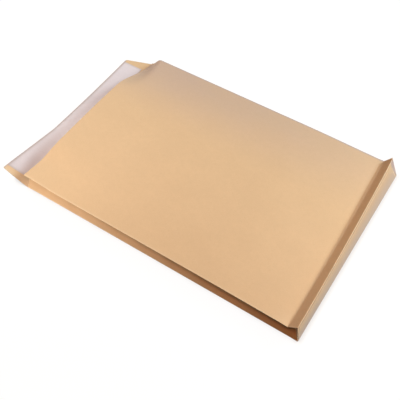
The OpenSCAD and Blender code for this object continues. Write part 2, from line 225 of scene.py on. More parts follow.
class PocketSizes(bpy.types.PropertyGroup):
    """Sizes of the folded sheet, the adhesive and the liner"""

    pocket_l: length("Pocket length", "Back panel, from the flap's fold line to the foot", 0.324)
    pocket_w: length("Pocket width", "Width of the pocket", box_high.y - box_low.y)
    gusset_w: length("Gusset", "Full width of a side gusset and of the bottom", 0.025)
    paper_t: length("Paper", "Thickness of the manila paper", 0.0002)

    near_open: angle("Near gusset", "Opening of each half of the near gusset", 45.7)
    near_open_mouth: angle("Near gusset, mouth", "The same at the mouth", 56)
    near_open_foot: angle("Near gusset, foot", "The same beside the bottom", 41.2)
    far_open: angle("Far gusset", "Opening of each half of the far gusset", 34.1)
    far_open_foot: angle("Far gusset, foot", "The same beside the bottom", 29.5)
    mouth_run: length("Mouth run", "Length over which the mouth runs into the body", 0.045)
    foot_run: length("Foot run", "Length over which the body runs into the bottom", 0.110)

    mouth_swell: length("Swell", "Rise of the mouth edge above the side folds", 0.005)
    foot_swell: length("Swell, foot", "Rise of the panel at the bottom", 0.0006)
    crest_mouth: share("Crest, mouth", "Place of the crest across the mouth", 0.72)
    crest_foot: share("Crest, foot", "Place of the crest beside the bottom", 0.95)
    hollow_d: length("Hollow", "Depth of the hollow in the mouth edge", 0.003)
    hollow_y: length("Hollow place", "Its distance from the near side", 0.028)
    hollow_w: length("Hollow width", "Its half width", 0.018)
    corner_drop: share("Pressed corner", "Height lost at the far mouth corner", 0.88)
    drop_l: length("Press reach", "Reach of the pressed corner along the far side", 0.0145)
    drop_spread: length("Press spread", "Further reach away from the far side", 0.025)
    drop_w: length("Press width", "Reach of the pressed corner along the mouth", 0.070)
    slip: length("Slip", "Slip of the panel's far side towards the mouth", 0.005)

    lap_gap: length("Lap gap", "Bare height between the ridge and the glued layer", 0.003)
    lap_inset: length("Lap inset", "Distance from each side to the glued layer", 0.0012)
    lap_taper_near: length("Lap taper", "How much further in its upper near corner is cut", 0.0012)
    lap_taper_far: length("Lap taper, far", "The same at its upper far corner", 0.0075)
    lap_lift: length("Lap lift", "How far its free edge stands off the bottom", 0.00022)
    node_rise: share("Node rise", "Height of the corner node as a share of the opening", 0.65)
    node_back: share("Node place", "Distance of the node from the foot, in half gussets", 0.8)

    flap_d: length("Flap", "Depth of the flap in the middle", 0.0312)
    flap_d_near: length("Flap, near", "Depth of the flap at its near end", 0.0342)
    flap_d_far: length("Flap, far", "Depth of the flap at its far end", 0.0329)
    taper_near: length("Near taper", "Cut of the flap's near side", 0.0004)
    taper_far: length("Far taper", "Cut of the flap's far side", 0.011)
    corner_r_near: length("Near corner", "Radius of the flap's near outer corner", 0.0012)
    corner_r_far: length("Far corner", "Radius of the flap's far outer corner", 0.0025)
    corner_lift: length("Corner lift", "Height of the sprung near corner", 0.0117)
    lift_run: length("Lift run", "Length of the edge that has left the table", 0.080)

    liner_w: length("Liner", "Width of the release liner", 0.026)
    liner_t: length("Liner thickness", "Thickness of the release liner", 0.0001)
    liner_margin: length("Liner margin", "Bare margin outside the liner", 0.0009)
    liner_end_near: length("Liner near end", "Bare length at its near end", 0.005)
    liner_end_far: length("Liner far end", "Bare length at its far end", 0.0015)
    liner_skew: length("Liner skew", "How much further in its inner near corner lies", 0.0028)
    glue_t: length("Adhesive", "Thickness of the adhesive band", 0.0001)
    glue_margin: length("Adhesive margin", "Overhang of the liner along its edges", 0.003)
    glue_end: length("Adhesive ends", "Overhang of the liner at its ends", 0.0025)

    side_r: length("Side fold", "Roundness of the folds along the sides", 0.0005)
    crease_r: length("Gusset crease", "Roundness of the gussets' inner creases", 0.0007)
    valley_r: length("Valley crease", "Roundness of the crease above the bottom, near", 0.0013)
    valley_r_far: length("Valley crease, far", "Roundness of its softer far end", 0.0030)
    ridge_r: length("Ridge", "Roundness of the ridge", 0.0005)
    foot_r: length("Foot", "Roundness of the fold at the foot", 0.0006)
    cockle: length("Cockle", "Height of the sheet's gentle unevenness", 0.00012)
    step: length("Mesh step", "Distance of the mesh's rows in the open sheet", 0.0035)


class PocketColours(bpy.types.PropertyGroup):
    """Colours of the paper, the adhesive and the liner"""

    manila: tint("Manila", "Colour of the paper", (0.776, 0.527, 0.296))
    # Rubbed folds and their painted highlights, and the pale fibres
    manila_pale: tint("Manila, folds", "Colour of rubbed folds", (0.97, 0.75, 0.50))
    manila_core: tint("Manila, cut edge", "Colour of cut edges", (0.56, 0.45, 0.36))
    # Painted grey shade on the panel's far part, the far folds and the flap's edge
    manila_painted_grey: tint("Manila, handled", "Colour of greyed edges", (0.43, 0.345, 0.39))
    # Painted shade in the gussets, the strip, the bottom and the corner folds
    manila_painted_shade: tint("Manila, unfaded", "Colour inside the gussets", (0.48, 0.165, 0.035))
    manila_fleck: tint("Manila, flecks", "Colour of the dark fibres", (0.46, 0.27, 0.13))
    adhesive: tint("Adhesive", "Colour of the adhesive film", (0.83, 0.76, 0.58))
    liner: tint("Liner", "Colour of the release liner", (0.80, 0.72, 0.735))
    # Painted grey shade along the liner's outer edge
    liner_painted_grey: tint("Liner, handled", "Colour of its greyed outer edge", (0.50, 0.41, 0.36))
    floor: tint("Floor", "Light that the floor throws back on the pocket", (0.08, 0.06, 0.045))


def ease(t):
    """Smooth step: c^2 (3 - 2c) with c the part of t between 0 and 1."""
    c = np.clip(t, 0, 1)
    return c * c * (3 - 2 * c)


def unit(a):
    """Each vector divided by its length."""
    return a / np.linalg.norm(a, axis=-1, keepdims=True)


def points(x, y, z):
    """Three coordinates, spread over one grid, as an array of points."""
    return np.stack(np.broadcast_arrays(x, y, z), -1).astype(float)


def graded(span, step):
    """Places from 0 to span: close together at both ends, then about one step apart."""
    close = np.array(CLOSE_ROWS)
    n = int(round((span - 2 * close[-1]) / step))
    middle = np.linspace(close[-1], span - close[-1], n + 1)[1:-1]
    return np.concatenate([close, middle, span - close[::-1]])


def opening(s, body, mouth, foot, x):
    """Opening angle at x: its body value, blended to the mouth's and the foot's by smooth steps."""
    return (body + (mouth - body) * (1 - ease(x / s.mouth_run))
            + (foot - body) * ease((x - s.pocket_l + s.foot_run) / s.foot_run))


def panel_height(s, x, u):
    """Height of the upper panel at x and at the share u of the width.

    A straight line between the two gussets' heights, W sin(opening), plus the swell, minus a
    bell-shaped hollow near the mouth, times what the pressed far corner leaves. The swell rises
    across as a quarter of a sine to its crest, falls as a power to the far side, and settles along
    x as its crest runs to the far side."""
    near = s.gusset_w * np.sin(
        opening(s, s.near_open, s.near_open_mouth, s.near_open_foot, x))
    far = s.gusset_w * np.sin(opening(s, s.far_open, s.far_open, s.far_open_foot, x))
    v = np.clip(x / s.pocket_l, 0, 1)
    crest = s.crest_mouth + (s.crest_foot - s.crest_mouth) * v
    fall = np.clip((u - crest) / (1 - crest), 0, 1)
    swell = ((s.foot_swell + (s.mouth_swell - s.foot_swell) * (1 - v) ** SWELL_FADE)
             * (np.sin(np.pi / 2 * np.minimum(u / crest, 1)) - fall ** FALL_CURVE))
    y = u * s.pocket_w
    hollow = (s.hollow_d * (1 - ease(x / s.mouth_run)) * ease(HOLLOW_START * y / s.hollow_y)
              * np.exp(-((y - s.hollow_y) / s.hollow_w) ** 2))
    beside = (s.pocket_w - y) / s.drop_w
    pressed = s.corner_drop * (1 - ease(np.hypot(x / (s.drop_l + s.drop_spread * beside), beside)))
    return ((1 - u) * near + u * far + swell - hollow) * (1 - pressed)


def unevenness(s, x, y):
    """Gentle waves of a sheet that has taken up some moisture: a sum of slow sines."""
    return s.cockle * sum(size * np.sin(along * x + across * y + start)
                          for size, along, across, start in WAVES)


def valley_x(s, u):
    """Place of the valley crease: half a gusset from the foot, less the slip, a power of u."""
    return s.pocket_l - s.gusset_w / 2 - s.slip * u ** SLIP_CURVE


def valley_radius(s, u):
    """Roundness of the valley crease, which grows from the near to the far end by a smooth step."""
    return s.valley_r + (s.valley_r_far - s.valley_r) * ease(u)


def end_fade(s, u):
    """From 0 at both sides to 1 in the open sheet, so that rounded folds end in sharp corners."""
    return ease(np.minimum(u, 1 - u) * s.pocket_w / BOTTOM_FOLD_RUN)


def side_radius(s, x):
    """Roundness of the side folds, which runs out at the mouth and at the bottom."""
    return s.side_r * ease(x / SIDE_FOLD_RUN) * ease((s.pocket_l - x) / SIDE_FOLD_RUN)


def ridge_line(s, u):
    """The ridge, where a circle of half a gusset round the valley crease meets one of a whole
    gusset round the foot."""
    half_g = s.gusset_w / 2
    x = valley_x(s, u)
    z = panel_height(s, x, u)
    dx = s.pocket_l - x
    d = np.hypot(dx, z)
    a = (half_g ** 2 - s.gusset_w ** 2 + d ** 2) / (2 * d)
    h = np.sqrt(half_g ** 2 - a ** 2)
    return points(x + (a * dx + h * z) / d, s.pocket_w * (u - 0.5), z + (h * dx - a * z) / d)


def flap_depth(s, y):
    """Depth of the flap at y: a parabola through its near, middle and far depth."""
    t = 2 * y / s.pocket_w
    tilt = (s.flap_d_far - s.flap_d_near) / 2
    bow = (s.flap_d_near + s.flap_d_far) / 2 - s.flap_d
    return s.flap_d + tilt * t + bow * t * t


def flap_point(s, y, p):
    """Place on the flap at y and at the distance p from the fold line.

    The outer edge is lifted by a power of the way into the lifted stretch, and the height grows
    from the fold line by a power of p over the depth."""
    d = flap_depth(s, y)
    into = np.clip((s.lift_run - s.pocket_w / 2 - y) / s.lift_run, 0, None)
    z = s.corner_lift * into ** LIFT_FADE
    return points(-p * np.sqrt(1 - (z / d) ** 2), y, z * (p / d) ** LIFT_CURVE)


def cut_in(p, d, taper, r):
    """How far the flap's side is cut in at p: a straight taper, then a round corner."""
    return taper * p / d + r - np.sqrt(r ** 2 - np.clip(p - d + r, 0, None) ** 2)


def bend(start, corner, end):
    """Rounded fold: the parabola from start to end whose sides meet in the corner."""
    t = np.linspace(0, 1, BEND_N + 1)[:, None, None]
    return (1 - t) ** 2 * start + 2 * t * (1 - t) * corner + t ** 2 * end


def between(start, end, n):
    """Rows of points on the straight lines from start to end."""
    t = np.linspace(0, 1, n + 1)[:, None, None]
    return start + (end - start) * t


def distance_along(grid):
    """Length along the rows of a grid, measured from its first row."""
    steps = np.linalg.norm(np.diff(grid, axis=0), axis=-1)
    return np.concatenate([np.zeros((1, grid.shape[1])), np.cumsum(steps, axis=0)])


def spot(name, distance):
    """A mark round a fold or an edge: k exp(-(d / w)^2), with its strength k and width w."""
    strength, width = SPOTS[name]
    return strength * np.exp(-(distance / width) ** 2)


def marks(wear_and_highlight, painted_grey=0, painted_shade=0):
    """The three marks of each point, side by side."""
    return np.stack(np.broadcast_arrays(wear_and_highlight, painted_grey, painted_shade), -1).astype(float)


def lap_edge(s, q, side):
    """Distance of the glued layer's end from the pocket's side at the share q of the height."""
    return s.lap_inset + (s.lap_taper_far if side > 0 else s.lap_taper_near) * (1 - q)


def bare_tone(s, grid):
    """How much painted grey shade the bare bottom gets: more towards the foot, and in the corner
    that the glued layer leaves bare at the far end."""
    q = 1 - grid[..., 2] / grid[..., 2].max(axis=0)
    beyond = grid[..., 1] - (s.pocket_w / 2 - lap_edge(s, q, 1))
    return np.maximum(GREY_BARE * ease(q), GREY_CORNER * ease(beyond / GREY_BORDER + 0.5))


def flap_rows(s, u):
    """The flap from beside its fold line to its edge, and how far out each row lies as a share.

    The last rows are spaced by a quarter of a sine, for the round outer corners."""
    half_w = s.pocket_w / 2
    turn = np.linspace(0, np.pi / 2, BEND_N + 1)[1:]
    corner = s.corner_r_far / s.flap_d
    run = graded(s.flap_d, s.step) / s.flap_d
    run = run[(run > 0) & (run < 1 - corner)]
    p = np.concatenate([run, 1 - corner * (1 - np.sin(turn))])[:, None]
    d_near, d_far = flap_depth(s, -half_w), flap_depth(s, half_w)
    y_near = cut_in(p * d_near, d_near, s.taper_near, s.corner_r_near) - half_w
    y_far = half_w - cut_in(p * d_far, d_far, s.taper_far, s.corner_r_far)
    y = y_near + (y_far - y_near) * u
    return flap_point(s, y, p * flap_depth(s, y)), p


def belt_marks(s, grid, along, ends, u, v, p):
    """The marks of the belt, whose blocks end at the rows ends.

    Wear with painted highlight lies on each fold, round the near foot corner and at the flap's near
    end. Painted grey shade lies on the panel's far part, growing by a power of v and a smooth step
    across, its far edge, the bare bottom and the flap's edge. Painted shade lies on the strip, and
    on the bottom below the ridge."""
    half_w = s.pocket_w / 2
    y = grid[..., 1]
    panel, bottom = grid[:ends[0]], grid[ends[2]:ends[4]]
    at = panel[..., 1] / s.pocket_w + 0.5

    # Painted grey shade on the panel's far part and far edge, on the bare bottom and along the
    # flap's rim
    tone = np.zeros(along.shape)
    greyed = (GREY_FOOT + GREY_MOUTH * (1 - v) ** GREY_FADE) * ease((at - GREY_FROM) / GREY_RUN)
    tone[:ends[0]] = np.maximum(greyed, spot("far_edge", half_w - panel[..., 1]))
    tone[ends[2]:ends[4]] = bare_tone(s, bottom)
    tone[ends[6]:] = spot("flap_rim", (1 - p) * s.flap_d)

    # Painted shade on the strip, more towards the far end, and on the bottom below the ridge
    painted_shade = np.zeros(along.shape)
    painted_shade[ends[0]:ends[2]] = SHADE_STRIP + SHADE_STRIP_FAR * u
    q = 1 - bottom[..., 2] / ridge_line(s, u)[:, 2]
    below_ridge = spot("bottom_line", q - BOTTOM_LINE) + SHADE_BOTTOM * (1 - ease(q))
    painted_shade[ends[2]:ends[4]] = below_ridge * (SHADE_BOTTOM_NEAR + (1 - SHADE_BOTTOM_NEAR) * u)

    valley_row, ridge_row, foot_row = ends[0:6:2] + BEND_N // 2 - 1
    fold_row = ends[6] - 1
    # Wear and painted highlight on the folds, stronger along the near side
    sides = np.minimum(y + half_w, half_w - y)
    sides[ends[6]:] = half_w
    wear_and_highlight = np.maximum.reduce([
        spot("valley", along - along[valley_row]), spot("ridge", along - along[ridge_row]),
        spot("foot", along - along[foot_row]), spot("fold_line", along - along[fold_row]),
        np.where(y > 0, FAR_WEAR_AND_HIGHLIGHT, NEAR_WEAR_AND_HIGHLIGHT) * spot("side", sides)])
    corner = np.hypot(half_w + panel[..., 1], valley_x(s, at) - panel[..., 0])
    wear_and_highlight[:ends[0]] = np.maximum(wear_and_highlight[:ends[0]], spot("foot_corner", corner))
    wear_and_highlight[ends[6]:] = np.maximum(wear_and_highlight[ends[6]:], spot("flap_end", half_w + y[ends[6]:]))
    return marks(wear_and_highlight, tone, painted_shade)


def belt(s):
    """The strip of paper that runs round the pocket, as a grid of rows and columns.

    Its rows run from the mouth edge along the upper panel, over the valley crease, the strip, the
    ridge, the bottom and the foot, back along the table and out to the flap's edge. Returns the
    points, the places on the flat sheet, the marks, and the panel's and the back's rows."""
    half_w = s.pocket_w / 2
    u = graded(s.pocket_w, s.step) / s.pocket_w
    v = graded(s.pocket_l, s.step)[:, None] / s.pocket_l
    inset = side_radius(s, v * s.pocket_l)
    y = inset - half_w + (s.pocket_w - 2 * inset) * u
    at = y / s.pocket_w + 0.5
    soft = end_fade(s, at)
    x = v * (valley_x(s, at) - soft * valley_radius(s, at))
    still = (ease(np.minimum(y + half_w, half_w - y) / STILL_SIDE)
             * ease((1 - v) * s.pocket_l / STILL_FOOT))
    panel = points(x, y, panel_height(s, x, at) + unevenness(s, x, y) * still)
    back = points(v * (s.pocket_l - soft * s.foot_r), y, 0)[::-1]

    y = s.pocket_w * (u - 0.5)
    x = valley_x(s, u)
    valley = points(x, y, panel_height(s, x, u))
    ridge = ridge_line(s, u)
    foot = points(s.pocket_l, y, 0)
    soft = end_fade(s, u)[:, None]
    up = unit(ridge - valley)
    down = unit(foot - ridge)
    round_v = valley_radius(s, u)[:, None] * soft
    strip = between(valley + up * round_v, ridge - up * s.ridge_r * soft, HALF_N)
    bottom = between(ridge + down * s.ridge_r * soft, foot - down * s.foot_r * soft, LOWER_N)
    valley_bend = bend(panel[-1], valley, strip[0])
    ridge_bend = bend(strip[-1], ridge, bottom[0])
    foot_bend = bend(bottom[-1], foot, back[0])
    flap, p = flap_rows(s, u)

    blocks = [panel, valley_bend[1:-1], strip, ridge_bend[1:-1], bottom, foot_bend[1:-1], back,
              flap]
    ends = np.cumsum([len(block) for block in blocks])
    grid = np.concatenate(blocks)
    along = distance_along(grid)
    flat = np.stack([along, grid[..., 1]], -1)
    return grid, flat, belt_marks(s, grid, along, ends, u, v, p), panel, back[::-1]


def crease_line(s, v, u, height):
    """Inner crease of a gusset: its x, its depth from the side and its height.

    The depth is the third side of a triangle whose other sides are half a gusset and half of the
    opening, and the height is a share of the opening that grows beside the bottom."""
    half_g = s.gusset_w / 2
    x = v * (s.pocket_l - s.node_back * half_g - s.slip * u / 2)
    rise = 0.5 + (s.node_rise - 0.5) * ease((x - s.pocket_l + s.foot_run) / s.foot_run)
    return x, np.sqrt(half_g ** 2 - height ** 2 / 4), height * rise


def gusset(s, side, panel_edge, back_edge):
    """One folded-in side, -1 near or 1 far, from the panel's last column to the back's.

    Across, it is a rounded fold, the upper half, the rounded crease, the lower half and the fold
    at the table. Each half bellies by half a sine across. Returns the points, the places on the
    flat sheet, the marks, and the ends of the valley crease, the inner crease and the foot."""
    half_w = s.pocket_w / 2
    v = graded(s.pocket_l, s.step) / s.pocket_l
    u = 0 if side < 0 else 1
    x = v * valley_x(s, u)
    height = panel_height(s, x, u)
    edge = points(x, side * half_w, height)
    crease_x, depth, crease_z = crease_line(s, v, u, height)
    crease = points(crease_x, side * (half_w - depth), crease_z)
    foot = points(v * s.pocket_l, side * half_w, 0)
    inset = side_radius(s, v * s.pocket_l)[:, None]
    into = unit(crease - edge)
    out = unit(foot - crease)
    round_in = s.crease_r * ease((1 - v) * s.pocket_l / CREASE_RUN)[:, None]
    upper = between(edge + into * inset, crease - into * round_in, HALF_N)
    lower = between(crease + out * round_in, foot - out * inset, LOWER_N)

    quiet = (ease((1 - v) * s.pocket_l / STILL_FOOT)
             * ease((v * s.pocket_l + STILL_SIDE / 2) / STILL_SIDE))
    bulge = BULGE * unevenness(s, BULGE_CLOSER * x, side * half_w + BULGE_SHIFT) * quiet
    for half, way, sign in ((upper, into, side), (lower, out, -side)):
        belly = np.sin(np.pi * np.linspace(0, 1, len(half)))[:, None] * bulge
        normal = np.stack([np.zeros(len(v)), sign * way[:, 2], -sign * way[:, 1]], -1)
        half += belly[..., None] * normal

    blocks = [bend(panel_edge, edge, upper[0])[:-1], upper[:-1],
              bend(upper[-1], crease, lower[0])[:-1], lower[:-1],
              bend(lower[-1], foot, back_edge)]
    ends = np.cumsum([len(block) for block in blocks])
    grid = np.concatenate(blocks)
    across = distance_along(grid)
    flat = np.stack([grid[..., 0], side * (half_w + across)], -1)
    marked = gusset_marks(side, v, across, ends[1] + BEND_N // 2)
    return grid, flat, marked, (edge[-1], crease[-1], foot[-1])


def gusset_marks(side, v, across, crease_row):
    """The marks of one gusset: wear and painted highlight on its three folds, painted shade between
    them, and painted grey shade on the far side's upper fold.

    The painted shade is a power of 1 - v plus a power of v less a smooth step, times a smooth step
    down from the side fold and one up from the table."""
    from_fold = across - across[BEND_N // 2]
    above_table = across[-1] - across
    fold_mark = spot("gusset_side", from_fold * np.where(from_fold > 0, INNER_SIDE, 1))
    lost = SHADE_LOST * ease((v - SHADE_LOST_FROM) / SHADE_LOST_RUN)
    gusset_shade = (SHADE_MOUTH * (1 - v) ** SHADE_MOUTH_FADE
               + SHADE_FOOT * v ** SHADE_FOOT_GROWTH * (1 - lost))
    # Painted shade between the gusset's folds
    painted_shade = (gusset_shade * ease(from_fold / SHADE_EDGE)
            * ease((above_table - SHADE_ABOVE) / SHADE_ABOVE_RUN))
    # Wear and painted highlight on the gusset's folds, stronger on the near side
    wear_and_highlight = np.maximum.reduce([
        (NEAR_WEAR_AND_HIGHLIGHT if side < 0 else FAR_WEAR_AND_HIGHLIGHT) * fold_mark,
        spot("gusset_crease", across - across[crease_row]),
        spot("gusset_foot", across - across[-1 - BEND_N // 2])])
    # The far side's upper fold gets painted grey shade
    return marks(wear_and_highlight, (GREY_GUSSET if side > 0 else 0) * fold_mark, painted_shade)


def corner_web(apex, first, second, n):
    """Triangle of paper at the block bottom: rows of points fanned out from its apex."""
    side = np.linspace(0, 1, n + 1)[:, None, None]
    row = np.linspace(0, 1, HALF_N + 1)[None, :, None]
    return apex + side * ((1 - row) * (first - apex) + row * (second - apex))


def lap(s):
    """The second layer glued to the outside of the bottom, which stands off a little above.

    A point lies on the line from ridge to foot at the share q, off it by the paper's thickness,
    and the free edge lifts by a slow wave that fades with the square of q."""
    u = graded(s.pocket_w, s.step) / s.pocket_w
    q = graded(s.gusset_w - s.lap_gap, s.step / 2)[:, None] / s.gusset_w + s.lap_gap / s.gusset_w
    ridge = ridge_line(s, u)[None, ...]
    near, far = lap_edge(s, q, -1), lap_edge(s, q, 1)
    x = ridge[..., 0] + (s.pocket_l - ridge[..., 0]) * q
    y = near + (s.pocket_w - near - far) * u - s.pocket_w / 2
    z = ridge[..., 2] * (1 - q)
    out = unit(points(ridge[..., 2], 0, s.pocket_l - ridge[..., 0]))
    mean, swing, waves, start = LAP_WAVE
    loose = s.lap_lift * (mean + swing * np.sin(waves * y + start)) * (1 - q) ** 2
    grid = points(x, y, z) + out * (s.paper_t + loose)[..., None]
    along = distance_along(grid)
    sides = np.minimum(u, 1 - u)[None, :] * s.pocket_w
    rim = np.minimum(along, sides)
    # Painted shadow along the glued layer's edges, and painted shade below the ridge
    painted_shade = np.maximum(spot("lap_shade", rim),
                      SHADE_LAP * (1 - ease(q)) * (SHADE_LAP_NEAR + (1 - SHADE_LAP_NEAR) * u))
    flat = np.stack([along + s.pocket_l, y + 0 * along], -1)
    # Rim rubbed and with a painted highlight, and painted grey shade towards the foot
    return grid, flat, marks(spot("lap_rim", rim - LAP_RIM), GREY_LAP * ease(q), painted_shade)


def flap_layer(s, ends, edges, top):
    """A film on the flap between two places across and two margins from its outer edge.

    Its near end is askew by a straight line, further in towards the fold line, and it gets painted
    grey shade beside the flap's edge."""
    t = np.linspace(0, 1, FILM_ROWS)[:, None]
    near = ends[0] + s.liner_skew * (1 - t)
    y = near + (ends[1] - near) * np.linspace(0, 1, FILM_COLUMNS)[None, :]
    p = flap_depth(s, y) - edges[1] + (edges[1] - edges[0]) * t
    grid = flap_point(s, y, p) + [0, 0, top]
    flat = np.stack(np.broadcast_arrays(p, y), -1)
    return grid, flat, marks(0 * p, spot("liner_rim", flap_depth(s, y) - p))


def liner_ends(s):
    """Places across the flap where the liner begins and ends."""
    return (s.taper_near + s.corner_r_near + s.liner_end_near - s.pocket_w / 2,
            s.pocket_w / 2 - s.taper_far - s.corner_r_far - s.liner_end_far)


def grid_faces(rows, cols, first):
    """Quads of a grid whose corners are numbered row by row from first."""
    corner = first + np.arange(rows - 1)[:, None] * cols + np.arange(cols - 1)[None, :]
    return np.stack([corner, corner + cols, corner + cols + 1, corner + 1], -1).reshape(-1, 4)


def outer_face(name, patches):
    """Mesh of a sheet's outer face from patches of (points, places on the flat sheet, marks,
    turned), welded along their shared borders."""
    s = bpy.context.scene.pocket_sizes
    corners, flats, marked, faces = [], [], [], []
    first = 0
    for grid, flat, mark, turned in patches:
        quads = grid_faces(grid.shape[0], grid.shape[1], first)
        faces.append(quads[:, ::-1] if turned else quads)
        corners.append(grid.reshape(-1, 3))
        flats.append(flat.reshape(-1, 2))
        marked.append(mark.reshape(-1, len(MARKS)))
        first += len(corners[-1])
    corners = np.concatenate(corners) + [box_high.x - s.paper_t - s.pocket_l, 0, 0]
    faces = np.concatenate(faces)
    mesh = bpy.data.meshes.new(name)
    mesh.from_pydata(corners.tolist(), [], faces.tolist())
    uv = mesh.uv_layers.new(name="flat_sheet")
    uv.data.foreach_set("uv", np.concatenate(flats)[faces.ravel()].ravel().astype(np.float32))
    for mark, values in zip(MARKS, np.concatenate(marked).T.astype(np.float32)):
        mesh.attributes.new(mark, "FLOAT", "POINT").data.foreach_set("value", values.copy())

    bm = bmesh.new()
    bm.from_mesh(mesh)
    bmesh.ops.remove_doubles(bm, verts=bm.verts, dist=WELD)
    bm.to_mesh(mesh)
    bm.free()
    mark_cut_edge(mesh)
    return mesh


def thicken(piece, thickness):
    """Gives a sheet its thickness towards the inside, and keeps it above the table."""
    outer = piece.data
    wall = piece.modifiers.new("Paper", "SOLIDIFY")
    wall.thickness = thickness
    wall.offset = -1
    bpy.context.view_layer.update()
    solid = bpy.data.meshes.new_from_object(
        piece.evaluated_get(bpy.context.evaluated_depsgraph_get()))
    piece.modifiers.clear()
    piece.data = solid
    solid.name = piece.name
    bpy.data.meshes.remove(outer)
    places = np.empty(3 * len(solid.vertices), np.float32)
    solid.vertices.foreach_get("co", places)
    places[2::3] = np.maximum(places[2::3], 0)
    solid.vertices.foreach_set("co", places)


def sheet(name, node, patches, thickness, material):
    """One piece of paper or film from the patches of its outer face, with its folds and cut edges
    marked sharp."""
    piece = bpy.data.objects.new(name, outer_face(name, patches))
    bpy.context.scene.collection.objects.link(piece)
    thicken(piece, thickness)
    piece.data.shade_smooth()
    piece.data.set_sharp_from_angle(angle=CREASE_ANGLE)
    piece.data.materials.append(material)
    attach(piece, "root")
    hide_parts(node)


def mark_cut_edge(mesh):
    """Sets the attribute cut_edge to 1 on corners whose edge has paper on one side only."""
    edge_of_loop = np.empty(len(mesh.loops), np.int32)
    mesh.loops.foreach_get("edge_index", edge_of_loop)
    uses = np.bincount(edge_of_loop, minlength=len(mesh.edges))
    ends = np.empty(2 * len(mesh.edges), np.int32)
    mesh.edges.foreach_get("vertices", ends)
    cut = np.zeros(len(mesh.vertices), np.float32)
    cut[ends.reshape(-1, 2)[uses == 1].ravel()] = 1
    mesh.attributes.new("cut_edge", "FLOAT", "POINT").data.foreach_set("value", cut)


class Finish:
    """A node material with one Principled shader, read in the flat sheet's own coordinates."""

    def __init__(self, name):
        self.material = bpy.data.materials.new(name)
        self.material.use_nodes = True
        self.tree = self.material.node_tree
        self.shader = self.tree.nodes["Principled BSDF"]
        self.place = self.tree.nodes.new("ShaderNodeUVMap")
        self.place.uv_map = "flat_sheet"

    def node(self, kind, **settings):
        made = self.tree.nodes.new(kind)
        for key, value in settings.items():
            setattr(made, key, value)
        return made

    def link(self, source, target):
        self.tree.links.new(source, target)

    def scaled(self, along, across):
        """The flat sheet's coordinates, stretched by a different number each way."""
        mapping = self.node("ShaderNodeMapping")
        mapping.inputs["Scale"].default_value = (along, across, 1)
        self.link(self.place.outputs["UV"], mapping.inputs["Vector"])
        return mapping.outputs["Vector"]

    def noise(self, along, across, detail, roughness=SOFT_NOISE):
        """Noise with so many cells to a metre each way."""
        noise = self.node("ShaderNodeTexNoise")
        noise.inputs["Scale"].default_value = 1.0
        noise.inputs["Detail"].default_value = detail
        noise.inputs["Roughness"].default_value = roughness
        self.link(self.scaled(along, across), noise.inputs["Vector"])
        return noise.outputs["Fac"]

    def ranged(self, value, low, high, to_low, to_high):
        """A value's range stretched to another, and held inside it."""
        fit = self.node("ShaderNodeMapRange")
        for key, number in (("From Min", low), ("From Max", high), ("To Min", to_low),
                            ("To Max", to_high)):
            fit.inputs[key].default_value = number
        self.link(value, fit.inputs["Value"])
        return fit.outputs["Result"]

    def attribute(self, name):
        return self.node("ShaderNodeAttribute", attribute_name=name).outputs["Fac"]

    def times(self, first, second):
        product = self.node("ShaderNodeMath", operation="MULTIPLY")
        self.link(first, product.inputs[0])
        self.link(second, product.inputs[1])
        return product.outputs[0]

    def sum(self, first, second, weight):
        total = self.node("ShaderNodeMath", operation="MULTIPLY_ADD")
        self.link(second, total.inputs[0])
        total.inputs[1].default_value = weight
        self.link(first, total.inputs[2])
        return total.outputs[0]

    def mix(self, factor, base, colour):
        """Colour laid over base by factor. Either may be a socket or a plain colour."""
        mixed = self.node("ShaderNodeMix", data_type="RGBA")
        self.link(factor, mixed.inputs["Factor"])
        for number, value in ((FIRST_COLOUR, base), (SECOND_COLOUR, colour)):
            if isinstance(value, bpy.types.NodeSocket):
                self.link(value, mixed.inputs[number])
            else:
                mixed.inputs[number].default_value = (*value, 1)
        return mixed.outputs[MIXED_COLOUR]

    def bump(self, height, strength, distance):
        bump = self.node("ShaderNodeBump")
        bump.inputs["Strength"].default_value = strength
        bump.inputs["Distance"].default_value = distance
        self.link(height, bump.inputs["Height"])
        self.link(bump.outputs["Normal"], self.shader.inputs["Normal"])


def shade(colour, factor):
    """A colour made lighter or darker by a factor."""
    return tuple(factor * part for part in colour)


